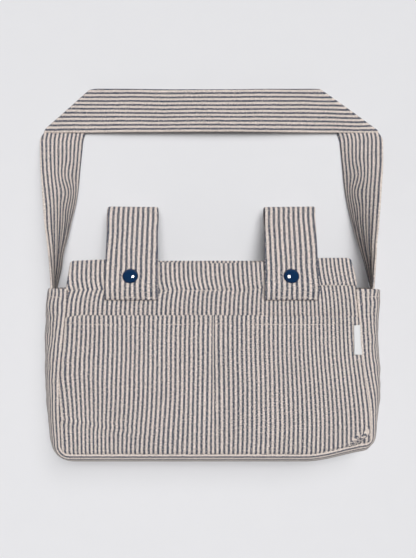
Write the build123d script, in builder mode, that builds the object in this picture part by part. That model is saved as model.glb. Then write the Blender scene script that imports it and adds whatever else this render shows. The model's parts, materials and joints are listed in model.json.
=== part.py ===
from build123d import *
import math
import os

# A cotton bag with a wide shoulder strap and two press-stud tabs, lying on its back.
# X runs across the bag, Y from its base towards the strap, Z from the back panel up to the front.
# The origin is the middle of the whole object's footprint, on the surface it lies on.
# All sizes are in millimetres.

# Cloth
CLOTH = 1.2  # one layer of striped canvas
STRAP_CLOTH = 2.3  # the folded and stitched strap
TAB_CLOTH = 2.2  # the doubled tab
HALF_LENGTH = 192.0  # half of the overall length, base to strap

# Front and back panels, half widths and places along Y
LIP_TOP = 10.5
MOUTH = -18.0  # the top edge of the gusset, where the front lip starts to slope down
MOUTH_PLANE = Plane.XZ.offset(-MOUTH)
BELLY = -90.0
HIP = -158.0
LIP_HALF = 138.0
LIP_RADIUS = 7.0
MOUTH_HALF = 140.5
BELLY_HALF = 147.5
HIP_HALF = 150.0
SEAM_BASE = -180.5
SEAM_RADIUS = 16.0
FRONT_LOW = 51.6  # underside of the front panel
FRONT_TOP = FRONT_LOW + CLOTH
LIP_TILT = 25.0  # degrees that the front lip slopes down towards the floor
LIP_LENGTH = 31.5
HEM_INSET = 3.0  # the turned-in layer of a lip is this much narrower at each side
HEM_START = 1.5  # and starts this far above the mouth

# Gusset: how far its middle stands out of the seams
MOUTH_BULGE = 24.0
BELLY_BULGE = 22.0
HIP_BULGE = 14.0
BASE_BULGE = HALF_LENGTH + SEAM_BASE
RADIUS_BULGE = 10.0
GUSSET_STEPS = 6

# Front pocket
POCKET_TOP = -43.4
POCKET_CROWNS = ((POCKET_TOP, 6.5), (BELLY, 7.5), (HIP, 4.5), (SEAM_BASE, 0.4))
POCKET_REACH = 20.0

# Seam binding inside the bag
BINDING_WIDTH = 7.0
BINDING_THICK = 1.4

# Tabs: each runs from the back lip to a fold, turns over it and closes on the front lip
TAB_WIDTH = 52.8
TAB_X = 79.0
TAB_GAP = 3.3  # between the front lip and the tab's flap, over the closed stud
TAB_END = -27.6
TAB_SEWN_END = -14.0
TAB_LEAVES_LIP = 14.0
TAB_BEND_RADIUS = 14.0
FOLD_RADIUS = 7.0
FOLD_REACH = 67.0
FOLD_ARC = 10.0  # degrees of the fold that the flap carries
FOLD_ARC_END = -62.0  # where the loop's part of the fold ends, from +Y towards +Z
LIP_NORMAL = Vector(0, math.sin(math.radians(LIP_TILT)), math.cos(math.radians(LIP_TILT)))
LIP_ALONG = Vector(0, LIP_NORMAL.Z, -LIP_NORMAL.Y)
FLAP_LIFT = TAB_GAP + TAB_CLOTH / 2
FLAP_Z = FRONT_TOP + FLAP_LIFT
FLAP_BEND_Y = MOUTH + FLAP_LIFT * math.tan(math.radians(LIP_TILT / 2))
FOLD_Y = FOLD_REACH - FOLD_RADIUS - TAB_CLOTH / 2
FOLD_Z = FLAP_Z + (FLAP_BEND_Y - FOLD_Y) * math.tan(math.radians(LIP_TILT)) - FOLD_RADIUS / LIP_NORMAL.Z

# Press studs, one through each tab
SNAP_UP_LIP = 11.6  # from the mouth, along the sloping lip
CAP_RADIUS = 7.5
CAP_RIM = 0.9
CAP_HEIGHT = 3.6
RIVET_RADIUS = 1.45
RIVET_HOLE = 1.6
RIVET_FIT = 0.05
SOCKET_RADIUS = 6.0
SOCKET_PLATE = 0.5
SOCKET_DEPTH = 2.2
STUD_RADIUS = 5.5
STUD_FLANGE = 0.8
KNOB_RADIUS = 2.2
KNOB_HEIGHT = 1.7
KNOB_EDGE = 0.2
SNAP_PLAY = 0.4
POST_RADIUS = 2.0
POST_HOLE = 2.1
POST_FLANGE_RADIUS = 6.0
POST_FLANGE = 0.8

# Shoulder strap
STRAP_WIDTH = 47.0
STRAP_HALF_SPAN = 178.0
STRAP_LOW_EDGE = HALF_LENGTH - STRAP_WIDTH
NECK_Y = -1.5  # the line that the strap swings about
NECK_X = 159.2
NECK_Z = 26.5
NECK_HALF = 14.0
LEG_STEPS = 8
ANCHOR_END = -44.0

# Side label
LABEL_LOW_Y = -81.0
LABEL_HIGH_Y = -52.4
LABEL_INNER_X = 137.6
LABEL_SEAM_X = 146.0
LABEL_INNER_Z = 57.2
LABEL_SEAM_Z = 55.4
LABEL_THICK = 0.6

SIDES = (("left", -1), ("right", 1))


def save(part, name):
    part.label = name
    export_step(part, f"parts/{name}.step")


def body_outline(bulge, inset):
    """Outline of the bag at one height, run on past the mouth: bulge is 0 at the seams and 1 at mid depth."""
    mouth = MOUTH_HALF + bulge * MOUTH_BULGE - inset
    belly = BELLY_HALF + bulge * BELLY_BULGE - inset
    hip = HIP_HALF + bulge * HIP_BULGE - inset
    base = SEAM_BASE - bulge * BASE_BULGE + inset
    with BuildSketch() as outline:
        with BuildLine():
            Polyline((0, base), (hip, base), (hip, HIP), (belly, BELLY), (mouth, MOUTH), (mouth, LIP_TOP), (0, LIP_TOP))
            mirror(about=Plane.YZ)
        make_face()
        corners = outline.vertices().group_by(Axis.Y)[0].sort_by(Axis.X)
        fillet((corners[0], corners[-1]), SEAM_RADIUS + bulge * RADIUS_BULGE - inset)
    return outline.sketch


def body_sections(inset):
    """Level slices of the bag's outer shape from its back seam to its front one, drawn in by inset."""
    half_depth = (FRONT_LOW - CLOTH) / 2
    sections = []
    for step in range(GUSSET_STEPS + 1):
        angle = math.pi * step / GUSSET_STEPS
        height = CLOTH + half_depth * (1 - math.cos(angle))
        with BuildSketch(Plane.XY.offset(height)) as section:
            add(body_outline(math.sin(angle), inset))
        sections.append(section.sketch.face())
    return sections


def lip_outline(length, start=0, inset=0):
    """A lip in its own plane, with the mouth's edge along its first axis."""
    with BuildSketch() as lip:
        with BuildLine():
            Polyline((0, start), (MOUTH_HALF - inset, start), (LIP_HALF - inset, length), (0, length))
            mirror(about=Plane.YZ)
        make_face()
        top = lip.vertices().group_by(Axis.Y)[-1].sort_by(Axis.X)
        fillet((top[0], top[-1]), LIP_RADIUS)
    return lip.sketch


def make_back_panel():
    with BuildPart() as back_panel:
        with BuildSketch():
            add(body_outline(0, 0))
        extrude(amount=CLOTH)
        split(bisect_by=MOUTH_PLANE, keep=Keep.TOP)
        with BuildSketch(Plane((0, MOUTH, 0))):
            add(lip_outline(LIP_TOP - MOUTH))
        extrude(amount=CLOTH)
        with BuildSketch(Plane((0, MOUTH, CLOTH))):
            add(lip_outline(LIP_TOP - MOUTH, HEM_START, HEM_INSET))
        extrude(amount=CLOTH)
    save(back_panel.part, "back_panel")


def make_front_panel():
    with BuildPart() as front_panel:
        with BuildSketch(Plane.XY.offset(FRONT_LOW)):
            add(body_outline(0, 0))
        extrude(amount=CLOTH)
        split(bisect_by=MOUTH_PLANE, keep=Keep.TOP)
        lip_plane = Plane((0, MOUTH, FRONT_TOP), x_dir=(1, 0, 0), z_dir=LIP_NORMAL)
        with BuildSketch(lip_plane):
            add(lip_outline(LIP_LENGTH))
        extrude(amount=-CLOTH)
        with BuildSketch(lip_plane):
            add(lip_outline(LIP_LENGTH, HEM_START, HEM_INSET))
        extrude(amount=-2 * CLOTH)
        with BuildSketch(lip_plane):
            with Locations((-TAB_X, SNAP_UP_LIP), (TAB_X, SNAP_UP_LIP)):
                Circle(POST_HOLE)
        extrude(amount=-3 * CLOTH, mode=Mode.SUBTRACT)
    save(front_panel.part, "front_panel")


def make_gusset():
    with BuildPart() as gusset:
        loft(body_sections(0), ruled=True)
        loft(body_sections(CLOTH), ruled=True, mode=Mode.SUBTRACT)
        split(bisect_by=MOUTH_PLANE, keep=Keep.TOP)
    save(gusset.part, "gusset")


def pocket_section(distance, crown):
    """A low arch over the right half of the front panel, at one place along Y."""
    half = MOUTH_HALF + (BELLY_HALF - MOUTH_HALF) * (MOUTH - distance) / (MOUTH - BELLY)
    if distance < BELLY:
        half = HIP_HALF
    with BuildSketch(Plane.XZ.offset(-distance)) as section:
        with BuildLine():
            ThreePointArc((0, FRONT_TOP), (half / 2, FRONT_TOP + crown), (half, FRONT_TOP))
            Line((half, FRONT_TOP), (half, FRONT_TOP + CLOTH))
            ThreePointArc((half, FRONT_TOP + CLOTH), (half / 2, FRONT_TOP + crown + CLOTH), (0, FRONT_TOP + CLOTH))
            Line((0, FRONT_TOP + CLOTH), (0, FRONT_TOP))
        make_face()
    return section.sketch.face()


def make_front_pocket():
    with BuildPart() as front_pocket:
        loft([pocket_section(distance, crown) for distance, crown in POCKET_CROWNS], ruled=True)
        mirror(about=Plane.YZ)
        with BuildSketch(Plane.XY.offset(FRONT_TOP)):
            add(body_outline(0, 0))
        extrude(amount=POCKET_REACH, mode=Mode.INTERSECT)
    save(front_pocket.part, "front_pocket")


def make_seam_binding(name, height):
    """Tape folded over the raw seam edges, lying flat against a panel inside the bag."""
    with BuildPart() as binding:
        with BuildSketch(Plane.XY.offset(height)):
            add(body_outline(0, CLOTH))
            add(body_outline(0, CLOTH + BINDING_WIDTH), mode=Mode.SUBTRACT)
        extrude(amount=BINDING_THICK)
        split(bisect_by=MOUTH_PLANE, keep=Keep.TOP)
    save(binding.part, name)


def tab_side_plane(side):
    """Side-on plane at one edge of a tab: its first axis is Y and its second is Z."""
    return Plane.YZ.offset(side * TAB_X - TAB_WIDTH / 2)


def make_tab_loop(name, side):
    """The sewn end and rear leg of a tab, up to the fold that it turns over."""
    sewn_z = 2 * CLOTH + TAB_CLOTH / 2
    run = FOLD_Y - TAB_LEAVES_LIP
    rise = FOLD_Z - sewn_z
    slope = math.atan2(rise, run) - math.asin(FOLD_RADIUS / math.hypot(run, rise))
    length = math.sqrt(run**2 + rise**2 - FOLD_RADIUS**2)
    touch = (TAB_LEAVES_LIP + length * math.cos(slope), sewn_z + length * math.sin(slope))
    start = math.degrees(slope) - 90
    with BuildPart() as tab_loop:
        with BuildSketch(tab_side_plane(side)):
            with BuildLine():
                FilletPolyline(
                    (TAB_SEWN_END, sewn_z), (TAB_LEAVES_LIP, sewn_z), touch, radius=TAB_BEND_RADIUS
                )
                CenterArc((FOLD_Y, FOLD_Z), FOLD_RADIUS, start, FOLD_ARC_END - start)
            trace(line_width=TAB_CLOTH)
        extrude(amount=TAB_WIDTH)
    save(tab_loop.part, name)


def make_tab_flap(name, side):
    """The tab from its fold to its free end, with the hole for the cap's rivet."""
    touch = (FOLD_Y + FOLD_RADIUS * LIP_NORMAL.Y, FOLD_Z + FOLD_RADIUS * LIP_NORMAL.Z)
    with BuildPart() as tab_flap:
        with BuildSketch(tab_side_plane(side)):
            with BuildLine():
                FilletPolyline((TAB_END, FLAP_Z), (FLAP_BEND_Y, FLAP_Z), touch, radius=TAB_BEND_RADIUS)
                CenterArc((FOLD_Y, FOLD_Z), FOLD_RADIUS, 90 - LIP_TILT, -FOLD_ARC)
            trace(line_width=TAB_CLOTH)
        extrude(amount=TAB_WIDTH)
        with BuildSketch(snap_plane(side, TAB_GAP)):
            Circle(RIVET_HOLE)
        extrude(amount=2 * TAB_CLOTH, both=True, mode=Mode.SUBTRACT)
    save(tab_flap.part, name)


def snap_origin(side, height):
    """A point on a press stud's axis, at a height above the lip's face."""
    return Vector(side * TAB_X, MOUTH, FRONT_TOP) + LIP_ALONG * SNAP_UP_LIP + LIP_NORMAL * height


def snap_plane(side, height):
    """Plane across a press stud's axis, parallel to the sloping lip."""
    return Plane(snap_origin(side, height), x_dir=(1, 0, 0), z_dir=LIP_NORMAL)


def snap_profile_plane(side, height):
    """Plane through a press stud's axis, with that axis as its second axis."""
    return Plane(snap_origin(side, height), x_dir=(1, 0, 0), z_dir=-LIP_ALONG)


def make_snap_cap(name, side):
    """Domed cap with the rivet that passes through the tab."""
    grip = TAB_CLOTH + SOCKET_PLATE
    with BuildPart() as cap:
        with BuildSketch(snap_profile_plane(side, TAB_GAP + TAB_CLOTH)):
            with BuildLine():
                Polyline((0, -grip), (RIVET_RADIUS, -grip), (RIVET_RADIUS, 0), (CAP_RADIUS, 0), (CAP_RADIUS, CAP_RIM))
                TangentArc((0, CAP_HEIGHT), (CAP_RADIUS, CAP_RIM), tangent=(1, 0))
                Line((0, CAP_HEIGHT), (0, -grip))
            make_face()
        revolve(axis=Axis(snap_origin(side, 0), LIP_NORMAL))
    save(cap.part, name)


def make_snap_socket(name, side):
    """Ring under the tab that clips over the stud's knob."""
    with BuildPart() as socket:
        with BuildSketch(snap_plane(side, TAB_GAP)):
            Circle(SOCKET_RADIUS)
            Circle(RIVET_RADIUS + RIVET_FIT, mode=Mode.SUBTRACT)
        extrude(amount=-SOCKET_PLATE)
        with BuildSketch(snap_plane(side, TAB_GAP - SOCKET_PLATE)):
            Circle(SOCKET_RADIUS)
            Circle(KNOB_RADIUS + SNAP_PLAY, mode=Mode.SUBTRACT)
        extrude(amount=SOCKET_PLATE - SOCKET_DEPTH)
        rims = socket.edges().filter_by(GeomType.CIRCLE).group_by(Axis(snap_origin(side, 0), LIP_NORMAL))
        fillet(rims[0].sort_by(SortBy.RADIUS)[-1], SOCKET_PLATE)
    save(socket.part, name)


def make_snap_stud(name, side):
    """Flange on the front panel's hem with the knob that the socket clips over."""
    with BuildPart() as stud:
        with BuildSketch(snap_profile_plane(side, 0)):
            with BuildLine():
                Polyline(
                    (POST_HOLE, 0),
                    (STUD_RADIUS, 0),
                    (STUD_RADIUS, STUD_FLANGE),
                    (KNOB_RADIUS, STUD_FLANGE),
                    (KNOB_RADIUS, STUD_FLANGE + KNOB_HEIGHT - KNOB_EDGE),
                    (KNOB_RADIUS - KNOB_EDGE, STUD_FLANGE + KNOB_HEIGHT),
                    (0, STUD_FLANGE + KNOB_HEIGHT),
                    (0, STUD_FLANGE + KNOB_EDGE),
                    (POST_HOLE, STUD_FLANGE + KNOB_EDGE),
                    close=True,
                )
            make_face()
        revolve(axis=Axis(snap_origin(side, 0), LIP_NORMAL))
    save(stud.part, name)


def make_snap_post(name, side):
    """Rivet plate behind the hem, whose post passes through it into the stud."""
    with BuildPart() as post:
        with BuildSketch(snap_plane(side, -2 * CLOTH)):
            Circle(POST_FLANGE_RADIUS)
        extrude(amount=-POST_FLANGE)
        with BuildSketch(snap_plane(side, -2 * CLOTH)):
            Circle(POST_RADIUS)
        extrude(amount=2 * CLOTH + STUD_FLANGE)
    save(post.part, name)


def leg_section(step):
    """One cross-section of the right leg, which turns from on edge at the neck to flat at the corner."""
    along = step / LEG_STEPS
    tilt = math.radians(90 * (1 - along))
    half = NECK_HALF + (STRAP_WIDTH / 2 - NECK_HALF) * min(1.0, 2 * along) ** 2
    middle_x = NECK_X + (STRAP_HALF_SPAN - STRAP_WIDTH / 2 - NECK_X) * along
    low_edge = (NECK_Z - NECK_HALF) * (1 - along) ** 2
    middle_z = low_edge + half * math.sin(tilt) + STRAP_CLOTH / 2 * math.cos(tilt)
    distance = NECK_Y + (STRAP_LOW_EDGE - NECK_Y) * along
    plane = Plane(origin=(0, distance, 0), x_dir=(1, 0, 0), z_dir=(0, -1, 0))
    with BuildSketch(plane) as section:
        with Locations(Location((middle_x, middle_z, 0), (0, 0, math.degrees(tilt)))):
            Rectangle(2 * half, STRAP_CLOTH)
    return section.sketch.face()


def make_shoulder_strap():
    """Both legs, their corners folded at 45 degrees, and the bridge that lies over the corners."""
    corner_x = STRAP_HALF_SPAN - STRAP_WIDTH
    with BuildPart() as strap:
        loft([leg_section(step) for step in range(LEG_STEPS + 1)], ruled=True)
        with BuildSketch(Plane.YZ.offset(NECK_X - STRAP_CLOTH / 2)):
            with Locations((NECK_Y, NECK_Z)):
                Circle(NECK_HALF)
        extrude(amount=STRAP_CLOTH)
        with BuildSketch():
            with BuildLine():
                Polyline(
                    (corner_x, STRAP_LOW_EDGE), (STRAP_HALF_SPAN, STRAP_LOW_EDGE), (corner_x, HALF_LENGTH), close=True
                )
            make_face()
        extrude(amount=STRAP_CLOTH)
        mirror(about=Plane.YZ)
        with BuildSketch(Plane.XY.offset(STRAP_CLOTH)):
            with BuildLine():
                Polyline(
                    (-STRAP_HALF_SPAN, STRAP_LOW_EDGE),
                    (STRAP_HALF_SPAN, STRAP_LOW_EDGE),
                    (corner_x, HALF_LENGTH),
                    (-corner_x, HALF_LENGTH),
                    close=True,
                )
            make_face()
        extrude(amount=STRAP_CLOTH)
    save(strap.part, "shoulder_strap")


def make_strap_anchor(name, side):
    """The strap's end, stitched to the inside of the gusset's top."""
    with BuildPart() as anchor:
        loft(body_sections(CLOTH), ruled=True)
        loft(body_sections(CLOTH + STRAP_CLOTH), ruled=True, mode=Mode.SUBTRACT)
        with BuildSketch(Plane.YZ):
            with Locations(((ANCHOR_END + MOUTH) / 2, NECK_Z)):
                Rectangle(MOUTH - ANCHOR_END, 2 * NECK_HALF)
        extrude(amount=side * STRAP_HALF_SPAN, mode=Mode.INTERSECT)
    save(anchor.part, name)


def make_seam_label():
    """Blank woven label caught in the right-hand front seam."""
    plane = Plane(origin=(0, LABEL_HIGH_Y, 0), x_dir=(1, 0, 0), z_dir=(0, -1, 0))
    with BuildPart() as label:
        with BuildSketch(plane):
            with BuildLine():
                Line((LABEL_INNER_X, LABEL_INNER_Z), (LABEL_SEAM_X, LABEL_SEAM_Z))
            trace(line_width=LABEL_THICK)
        extrude(amount=LABEL_HIGH_Y - LABEL_LOW_Y)
    save(label.part, "seam_label")


os.makedirs("parts", exist_ok=True)
make_back_panel()
make_front_panel()
make_gusset()
make_front_pocket()
make_seam_binding("front_seam_binding", FRONT_LOW - BINDING_THICK)
make_seam_binding("back_seam_binding", CLOTH)
make_shoulder_strap()
make_seam_label()
for word, sign in SIDES:
    make_tab_loop(f"{word}_tab_loop", sign)
    make_tab_flap(f"{word}_tab_flap", sign)
    make_snap_cap(f"{word}_snap_cap", sign)
    make_snap_socket(f"{word}_snap_socket", sign)
    make_snap_stud(f"{word}_snap_stud", sign)
    make_snap_post(f"{word}_snap_post", sign)
    make_strap_anchor(f"{word}_strap_anchor", sign)
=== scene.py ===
import json
import math
import bpy
import numpy as np
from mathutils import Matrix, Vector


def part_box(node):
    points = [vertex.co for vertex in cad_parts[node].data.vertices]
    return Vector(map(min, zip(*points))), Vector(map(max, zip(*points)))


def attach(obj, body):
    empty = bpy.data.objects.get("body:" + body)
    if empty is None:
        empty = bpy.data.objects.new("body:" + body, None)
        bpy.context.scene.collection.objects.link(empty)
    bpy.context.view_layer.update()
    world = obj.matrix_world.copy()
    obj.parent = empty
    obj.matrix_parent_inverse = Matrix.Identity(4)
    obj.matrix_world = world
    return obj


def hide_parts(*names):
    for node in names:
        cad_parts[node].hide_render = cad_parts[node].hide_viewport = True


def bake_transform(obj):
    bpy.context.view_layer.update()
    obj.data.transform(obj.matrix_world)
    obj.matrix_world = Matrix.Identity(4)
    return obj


# A striped cotton bag with a shoulder strap and two press-stud tabs, lying on its back.
# Shapes are worked out in millimetres, in the CAD frame, and become metres when a mesh is made.

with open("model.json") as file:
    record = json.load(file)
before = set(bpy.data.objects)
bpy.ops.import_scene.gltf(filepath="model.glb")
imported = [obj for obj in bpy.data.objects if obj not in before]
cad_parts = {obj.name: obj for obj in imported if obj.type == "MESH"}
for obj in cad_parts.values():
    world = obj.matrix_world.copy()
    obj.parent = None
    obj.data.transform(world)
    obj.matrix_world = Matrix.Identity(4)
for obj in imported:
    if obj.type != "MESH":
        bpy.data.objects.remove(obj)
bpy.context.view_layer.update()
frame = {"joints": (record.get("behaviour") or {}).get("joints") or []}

MM = 0.001


def cad(node):
    """Lowest and highest corners of a CAD node, in millimetres."""
    low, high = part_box(node)
    return np.array(low) / MM, np.array(high) / MM


# Driving places, from the CAD frame
BACK_LOW, BACK_HIGH = cad("back_panel")
LABEL_LOW, LABEL_HIGH = cad("seam_label")
STRAP_TOP = cad("shoulder_strap")[1][1]
POCKET_TOP = cad("front_pocket")[1][1]
MOUTH, SEAM_Z = cad("gusset")[1][1:]
TAB_END = cad("right_tab_flap")[0][1]
JOINTS = {joint["name"]: joint for joint in frame["joints"]}

# Cloth: how thick it is, singly, hemmed, and as tabs and strap
CLOTH = 1.2
HEMMED = 2.0
TAB_CLOTH = 2.2
STRAP_CLOTH = 2.0

# From one dark stripe to the next, and where one dark stripe's middle lies on each piece
STRIPE = 4.4
POCKET_STRIPE = 4.33
STRAP_STRIPE = 4.36
TAB_STRIPE = 5.0
FRONT_DARK = -136.75
POCKET_DARK = -137.6
STRAP_DARK = 20.6
TAB_DARK = -0.15

# The bag's body
FRONT_Z = SEAM_Z + CLOTH
BACK_Z = CLOTH
MOUTH_HALF = 140.5
SEAM_BASE = BACK_LOW[1]
FRONT_CORNERS = (9.0, 5.0)  # radii at the lower left and the lower right
BACK_CORNERS = (16.0, 8.0)
LIP_START = MOUTH - SEAM_BASE
LIP_TILT = math.radians(25)
LIP_LENGTH = 31.5
HEM = 8.2  # the narrow hems of the pocket and the gusset
GUSSET_WIDTH = 79.0
GUSSET_ROWS = 44
BASE_DEPTH = 11.3  # how far the gusset bulges below the base
POCKET_MIDDLE = 1.5  # where the seam lies that divides the pocket
CRUMPLE_AT = (143.6, -162.3)
CRUMPLE_ALONG = (0.808, 0.59)

# The tabs and their press studs
TAB_HALF = 25.7
TAB_GAP = 3.3  # from the lip to the underside of a tab
FOLD_RADIUS = 7.0
STUD_X = {"left": -78.9, "right": 77.6}
STUD_UP_LIP = 11.6

# The strap
STRAP_WIDTH = 46.4
SPAN = 178.4
STRAP_EDGE = STRAP_TOP - STRAP_WIDTH
LEG_END = -44.0

# The camera hangs straight over the bag
CAMERA = (-3.4, -7.85, 650.0)
VIEW_HEIGHT = 590.0
SENSOR = 36.0


# ---------------------------------------------------------------- helpers

def smooth(x):
    x = np.clip(x, 0.0, 1.0)
    return x * x * (3 - 2 * x)


def bell(x, width):
    return np.exp(-((x / width) ** 2))


def eased(x, places, values):
    """A smooth curve that passes near a few values."""
    fine = np.linspace(places[0], places[-1], 401)
    curve = np.interp(fine, places, values)
    window = np.ones(29) / 29
    for _ in range(2):
        curve = np.convolve(np.pad(curve, 14, mode="edge"), window, mode="valid")
    return np.interp(x, fine, curve)


def dark_at(x, middle, pitch):
    """The cloth coordinate across the stripes, with a dark stripe's middle at a given place."""
    return (x - middle) / pitch + 0.5


def value_noise(x, y, seed):
    """Smooth random numbers from -1 to 1 over a plane, the same on every run."""
    size = 64
    lattice = np.random.default_rng(seed).uniform(-1, 1, (size, size))
    column, row = np.floor(x).astype(int), np.floor(y).astype(int)
    across, along = smooth(x - column), smooth(y - row)
    low = lattice[row % size, column % size] * (1 - across) + lattice[row % size, (column + 1) % size] * across
    high = (
        lattice[(row + 1) % size, column % size] * (1 - across)
        + lattice[(row + 1) % size, (column + 1) % size] * across
    )
    return low * (1 - along) + high * along


def running(line):
    """How far along a polyline each of its points is."""
    return np.concatenate([[0], np.cumsum(np.linalg.norm(np.diff(line, axis=0), axis=1))])


def evenly(line, spacing):
    """A polyline resampled to even steps."""
    length = running(line)
    places = np.linspace(0, length[-1], max(2, int(round(length[-1] / spacing)) + 1))
    return np.column_stack([np.interp(places, length, line[:, k]) for k in range(line.shape[1])])


def outward(seam):
    """Unit steps out of the bag, square to a seam's path, which runs anticlockwise."""
    ahead = np.gradient(seam, axis=0)
    ahead /= np.linalg.norm(ahead, axis=1, keepdims=True)
    return np.column_stack([ahead[:, 1], -ahead[:, 0]])


def arc(centre, radius, start, end, count):
    """Points on an arc in a (Y, Z) plane, angles in degrees from +Y towards +Z."""
    angles = np.radians(np.linspace(start, end, count))
    return [(centre[0] + radius * math.cos(a), centre[1] + radius * math.sin(a)) for a in angles]


def make_object(name, vertices, faces, material, uv=None):
    """A smooth-shaded mesh object, from millimetres, with cloth coordinates for each vertex."""
    mesh = bpy.data.meshes.new(name)
    mesh.from_pydata((np.asarray(vertices) * MM).tolist(), [], faces)
    if uv is not None:
        layer = mesh.uv_layers.new(name="cloth")
        loops = np.empty(len(mesh.loops), dtype=np.int32)
        mesh.loops.foreach_get("vertex_index", loops)
        layer.data.foreach_set("uv", np.asarray(uv, dtype=np.float32)[loops].ravel())
    mesh.polygons.foreach_set("use_smooth", [True] * len(mesh.polygons))
    mesh.materials.append(material)
    mesh.validate()
    obj = bpy.data.objects.new(name, mesh)
    bpy.context.scene.collection.objects.link(obj)
    return obj


def grid_normals(points):
    """Unit normals of a grid of points (rows, columns, 3)."""
    across = np.gradient(points, axis=1)
    along = np.gradient(points, axis=0)
    normal = np.cross(across, along)
    return normal / np.maximum(np.linalg.norm(normal, axis=2, keepdims=True), 1e-9)


def cloth_shell(name, points, cloth, thickness, material, round_edge=0.45):
    """A closed sheet of cloth about a grid of points (rows, columns, 3), with its flat places in stripe widths."""
    rows, columns = points.shape[:2]
    half = np.broadcast_to(np.asarray(thickness, dtype=float) / 2, (rows, columns))[..., None]
    normal = grid_normals(points)
    front = (points + normal * half).reshape(-1, 3)
    back = (points - normal * half).reshape(-1, 3)
    count = rows * columns
    index = np.arange(count).reshape(rows, columns)
    a, b = index[:-1, :-1].ravel(), index[:-1, 1:].ravel()
    c, d = index[1:, 1:].ravel(), index[1:, :-1].ravel()
    faces = np.column_stack([a, b, c, d]).tolist()
    faces += np.column_stack([a + count, d + count, c + count, b + count]).tolist()
    loop = np.concatenate([index[0, :-1], index[:-1, -1], index[-1, :0:-1], index[:0:-1, 0]])
    inner = np.concatenate([index[1, :-1], index[:-1, -2], index[-2, :0:-1], index[:0:-1, 1]])
    flat = points.reshape(-1, 3)
    outward = flat[loop] - flat[inner]
    outward /= np.maximum(np.linalg.norm(outward, axis=1, keepdims=True), 1e-9)
    rim = flat[loop] + outward * half.reshape(-1, 1)[loop] * 2 * round_edge
    start = 2 * count
    ring = len(loop)
    for i in range(ring):
        j = (i + 1) % ring
        faces.append([int(loop[i]), start + i, start + j, int(loop[j])])
        faces.append([start + i, int(loop[i]) + count, int(loop[j]) + count, start + j])
    flat_cloth = np.asarray(cloth).reshape(-1, 2)
    vertices = np.vstack([front, back, rim])
    uv = np.vstack([flat_cloth, flat_cloth, flat_cloth[loop]])
    return make_object(name, vertices, faces, material, uv)


def lathe(name, profile, origin, axis, material, count):
    """A turned piece: profile is (radius, height) points, and height runs along axis from origin."""
    side = np.array((1.0, 0.0, 0.0))
    up = np.cross(axis, side)
    angles = np.linspace(0, 2 * math.pi, count, endpoint=False)
    vertices = []
    for radius, height in profile:
        for angle in angles:
            vertices.append(origin + axis * height + radius * (side * math.cos(angle) + up * math.sin(angle)))
    faces = []
    for i in range(len(profile) - 1):
        for k in range(count):
            m = (k + 1) % count
            faces.append([i * count + k, i * count + m, (i + 1) * count + m, (i + 1) * count + k])
    faces.append(list(range(count))[::-1])
    faces.append([(len(profile) - 1) * count + k for k in range(count)])
    return make_object(name, vertices, faces, material)


def stitch_row(name, line, normals, material, length=2.6, gap=1.5, radius=0.3, lift=0.1):
    """A row of thread stitches along a line of points, each a small rounded bead that dips at both ends."""
    line, normals = np.asarray(line, dtype=float), np.asarray(normals, dtype=float)
    run = running(line)
    starts = np.arange(gap / 2, run[-1] - length, length + gap)
    sections, sides = 5, 6
    vertices, faces = [], []

    def at(place, source):
        return np.array([np.interp(place, run, source[:, k]) for k in range(3)])

    for start in starts:
        base = len(vertices)
        for i in range(sections):
            f = i / (sections - 1)
            place = start + length * f
            centre, up = at(place, line), at(place, normals)
            up /= np.linalg.norm(up)
            ahead = at(min(place + 0.3, run[-1]), line) - at(max(place - 0.3, 0), line)
            ahead /= np.linalg.norm(ahead)
            side = np.cross(ahead, up)
            swell = radius * (0.35 + 0.65 * math.sin(math.pi * f) ** 0.5)
            height = lift + radius * 0.9 * math.sin(math.pi * f)
            for k in range(sides):
                angle = 2 * math.pi * k / sides
                vertices.append(centre + up * (height + swell * math.sin(angle)) + side * swell * math.cos(angle))
        for i in range(sections - 1):
            for k in range(sides):
                m = (k + 1) % sides
                low, high = base + i * sides, base + (i + 1) * sides
                faces.append([low + k, high + k, high + m, low + m])
        faces.append([base + k for k in range(sides)])
        faces.append([base + (sections - 1) * sides + k for k in range(sides)][::-1])
    return make_object(name, vertices, faces, material)


# ---------------------------------------------------------------- materials

class Nodes:
    """Short ways to add and join shader nodes."""

    def __init__(self, name):
        self.material = bpy.data.materials.new(name)
        self.material.use_nodes = True
        self.tree = self.material.node_tree
        self.shader = self.tree.nodes["Principled BSDF"]

    def add(self, kind, **settings):
        node = self.tree.nodes.new(kind)
        for key, value in settings.items():
            setattr(node, key, value)
        return node

    def join(self, source, target):
        self.tree.links.new(source, target)

    def math(self, operation, a, b=None, c=None):
        node = self.add("ShaderNodeMath", operation=operation)
        for socket, value in zip(node.inputs, (a, b, c)):
            if value is None:
                continue
            if isinstance(value, (int, float)):
                socket.default_value = value
            else:
                self.join(value, socket)
        return node.outputs[0]

    def mix(self, factor, a, b):
        node = self.add("ShaderNodeMix", data_type="RGBA")
        for socket, value in ((node.inputs[0], factor), (node.inputs[6], a), (node.inputs[7], b)):
            if isinstance(value, (int, float)):
                socket.default_value = value
            elif isinstance(value, tuple):
                socket.default_value = (*value, 1.0)
            else:
                self.join(value, socket)
        return node.outputs[2]

    def noise(self, vector, scale, detail=2.0):
        node = self.add("ShaderNodeTexNoise")
        node.inputs["Scale"].default_value = scale
        node.inputs["Detail"].default_value = detail
        self.join(vector, node.inputs["Vector"])
        return node.outputs["Fac"]

    def scaled(self, vector, across, along):
        node = self.add("ShaderNodeMapping")
        node.inputs["Scale"].default_value = (across, along, 1.0)
        self.join(vector, node.inputs["Vector"])
        return node.outputs["Vector"]

    def bump(self, height, strength, distance):
        node = self.add("ShaderNodeBump")
        node.inputs["Strength"].default_value = strength
        node.inputs["Distance"].default_value = distance
        self.join(height, node.inputs["Height"])
        self.join(node.outputs["Normal"], self.shader.inputs["Normal"])


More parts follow.
